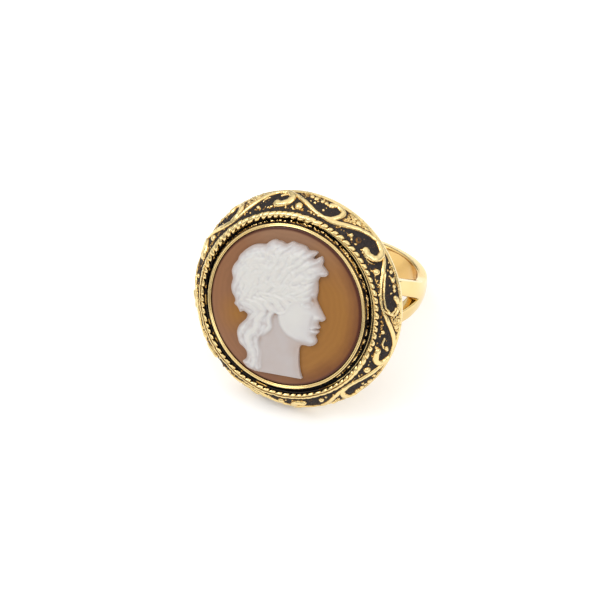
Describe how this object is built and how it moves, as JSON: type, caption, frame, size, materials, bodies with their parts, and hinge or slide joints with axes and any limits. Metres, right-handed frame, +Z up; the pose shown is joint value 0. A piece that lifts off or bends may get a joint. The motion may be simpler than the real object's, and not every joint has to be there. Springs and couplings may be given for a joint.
{
  "type": "cameo ring",
  "caption": "Finger ring with a split shank, a round cast head with a twisted rope and raised scrolls, a smooth collet and a white-on-brown shell cameo of a head in profile.",
  "frame": {"origin": "middle of the ring's box, on the surface that it lies on", "axes": "+Z up, the cameo faces -Y and upward, and the finger hole's axis lies in the YZ plane, leaning 26.4 degrees from +Z toward +Y"},
  "size_m": [0.025, 0.0284, 0.0229],
  "materials": {
    "antiqued_gold": "polished gold with blackened recesses round the relief",
    "polished_gold": "polished",
    "brown_shell": "satin, slightly translucent shell",
    "white_shell": "satin carved shell, thinner and greyer on the neck"
  },
  "bodies": {
    "root": {"shank_and_frame": "antiqued_gold", "collet": "polished_gold", "cameo_ground": "brown_shell", "cameo_head": "white_shell"}
  },
  "joints": []
}
